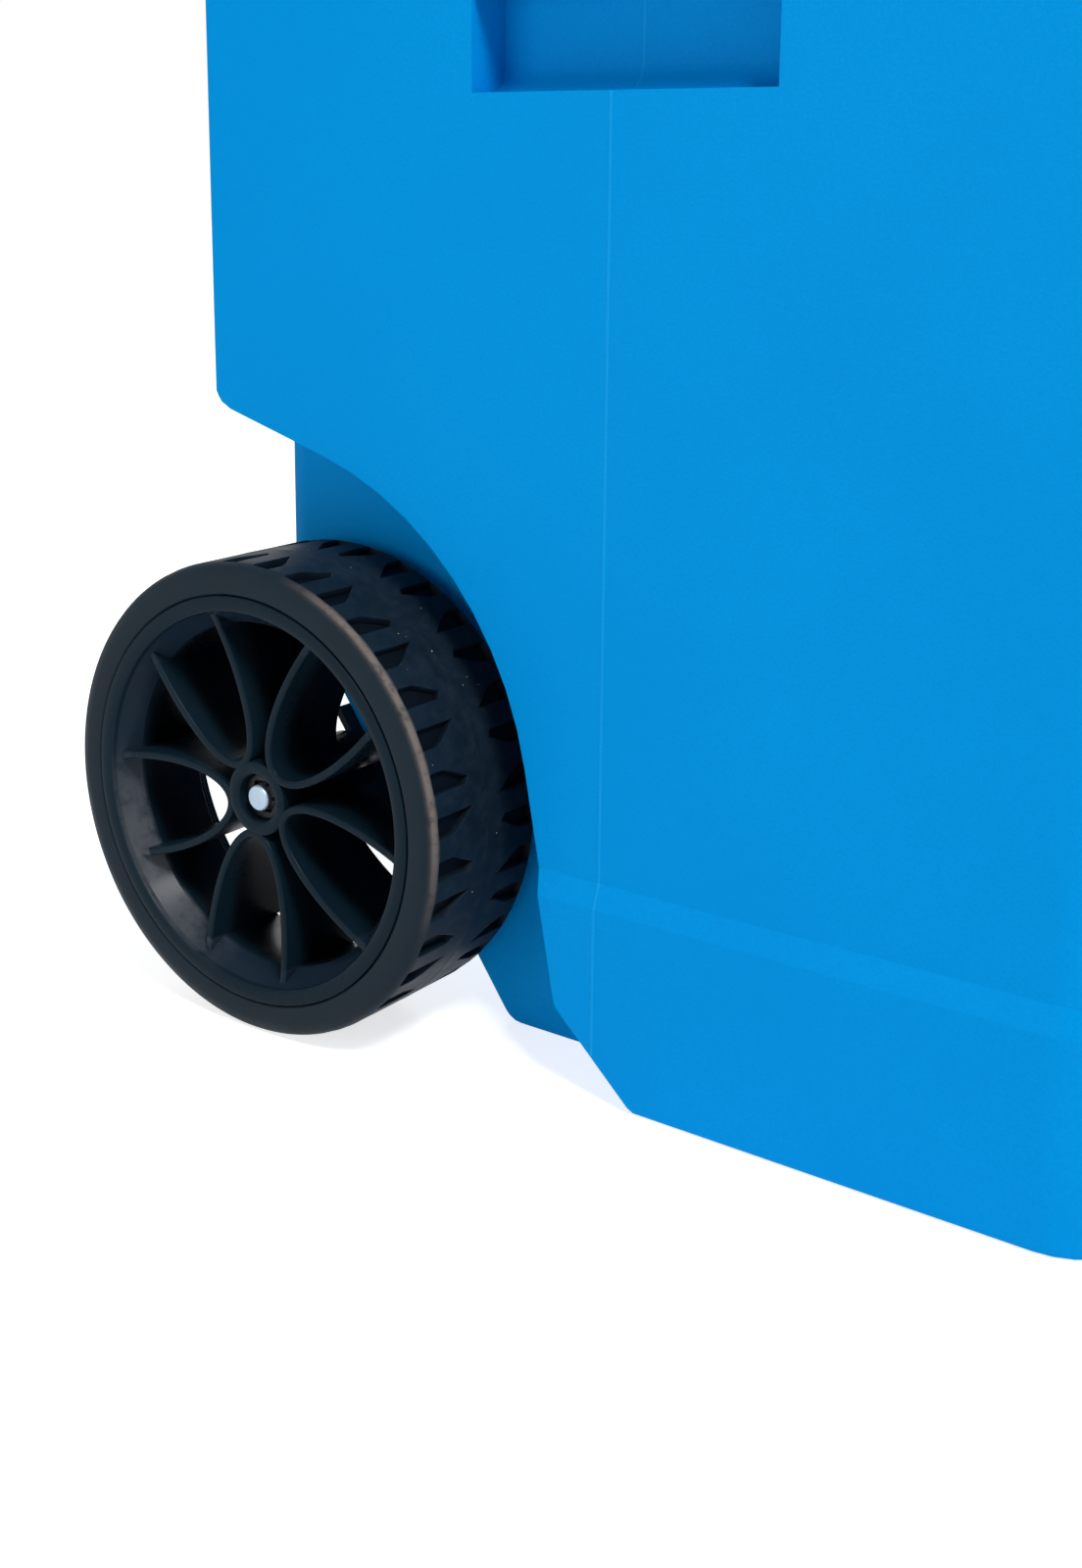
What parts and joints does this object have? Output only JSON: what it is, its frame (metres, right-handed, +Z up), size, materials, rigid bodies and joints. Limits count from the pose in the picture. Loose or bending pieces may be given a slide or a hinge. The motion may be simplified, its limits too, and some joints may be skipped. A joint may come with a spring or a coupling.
{
  "type": "wheeled cooler",
  "caption": "Insulated cooler box on large spoked wheels, with a moulded shell, cup-holder lid, drain plug and telescoping tow handle.",
  "frame": {"origin": "on the ground, under the centre of the bounding box", "axes": "+X to the front, away from the wheels; +Y to the cooler's left, the hinge side; +Z up"},
  "size_m": [0.4658, 0.4946, 0.508],
  "materials": {
    "blue_shell": "fine pebble texture, moulded",
    "blue_button": "satin",
    "white_plastic": "smooth, moulded",
    "black_plastic": "satin, moulded",
    "black_rim": "semi-gloss, moulded",
    "tyre": "matt, moulded tread",
    "seal_rubber": "matt",
    "foam": "closed-cell foam",
    "steel": "zinc plated",
    "aluminium_tube": "satin anodised"
  },
  "bodies": {
    "cooler_body": {"outer_shell": "blue_shell", "foam_core": "foam", "inner_liner": "white_plastic", "drain_spout": "white_plastic", "drain_gasket": "seal_rubber", "drain_nut": "white_plastic", "axle": "steel", "axle_strap_right": "black_plastic", "axle_strap_left": "black_plastic", "axle_screw_right_upper": "steel", "axle_screw_right_lower": "steel", "axle_screw_left_upper": "steel", "axle_screw_left_lower": "steel", "push_nut_right": "steel", "push_nut_left": "steel", "washer_right": "steel", "washer_left": "steel", "hinge_body_leaf_rear": "steel", "hinge_body_leaf_front": "steel", "hinge_pin_rear": "steel", "hinge_pin_front": "steel", "chest_hinge_screw_rear_a": "steel", "chest_hinge_screw_rear_b": "steel", "chest_hinge_screw_front_a": "steel", "chest_hinge_screw_front_b": "steel", "handle_top_bracket": "black_plastic", "handle_foot_bracket": "black_plastic", "chest_top_bracket_screw_1": "steel", "chest_top_bracket_screw_2": "steel", "chest_top_bracket_screw_3": "steel", "chest_top_bracket_screw_4": "steel", "chest_foot_bracket_screw_1": "steel", "chest_foot_bracket_screw_2": "steel", "outer_tube_right": "aluminium_tube", "outer_tube_left": "aluminium_tube"},
    "lid": {"lid_shell": "white_plastic", "lid_foam": "foam", "lid_liner": "white_plastic", "hinge_lid_leaf_rear": "steel", "hinge_lid_leaf_front": "steel", "lid_hinge_screw_rear_a": "steel", "lid_hinge_screw_rear_b": "steel", "lid_hinge_screw_front_a": "steel", "lid_hinge_screw_front_b": "steel"},
    "wheel_right": {"tyre_right": "tyre", "rim_right": "black_rim", "spokes_right": "black_rim"},
    "wheel_left": {"tyre_left": "tyre", "rim_left": "black_rim", "spokes_left": "black_rim"},
    "handle_lower": {"mid_tube_right": "aluminium_tube", "mid_tube_left": "aluminium_tube", "handle_bridge": "black_plastic"},
    "handle_upper": {"inner_tube_right": "aluminium_tube", "inner_tube_left": "aluminium_tube", "handle_bar": "black_plastic"},
    "release_button": {"release_button": "blue_button"},
    "drain_plug": {"drain_plug": "white_plastic"}
  },
  "joints": [
    {"name": "lid_hinge", "type": "hinge", "parent": "cooler_body", "child": "lid", "pos_m": [0.0244, 0.2143, 0.46015], "axis": [-1, 0, 0], "range_deg": [0, 100]},
    {"name": "wheel_right_spin", "type": "hinge", "parent": "cooler_body", "child": "wheel_right", "pos_m": [-0.1313, -0.212, 0.1016], "axis": [0, 1, 0], "continuous": true},
    {"name": "wheel_left_spin", "type": "hinge", "parent": "cooler_body", "child": "wheel_left", "pos_m": [-0.1313, 0.212, 0.1016], "axis": [0, 1, 0], "continuous": true},
    {"name": "handle_lower_slide", "type": "slide", "parent": "cooler_body", "child": "handle_lower", "axis": [0, 0, 1], "range_m": [0, 0.152]},
    {"name": "handle_upper_slide", "type": "slide", "parent": "handle_lower", "child": "handle_upper", "axis": [0, 0, 1], "range_m": [0, 0.155]},
    {"name": "release_button_press", "type": "slide", "parent": "handle_upper", "child": "release_button", "axis": [0, 0, -1], "range_m": [0, 0.0024], "stiffness_N_per_m": 800, "springref_m": -0.001},
    {"name": "drain_plug_pull", "type": "slide", "parent": "cooler_body", "child": "drain_plug", "axis": [1, 0, 0], "range_m": [0, 0.036]}
  ]
}
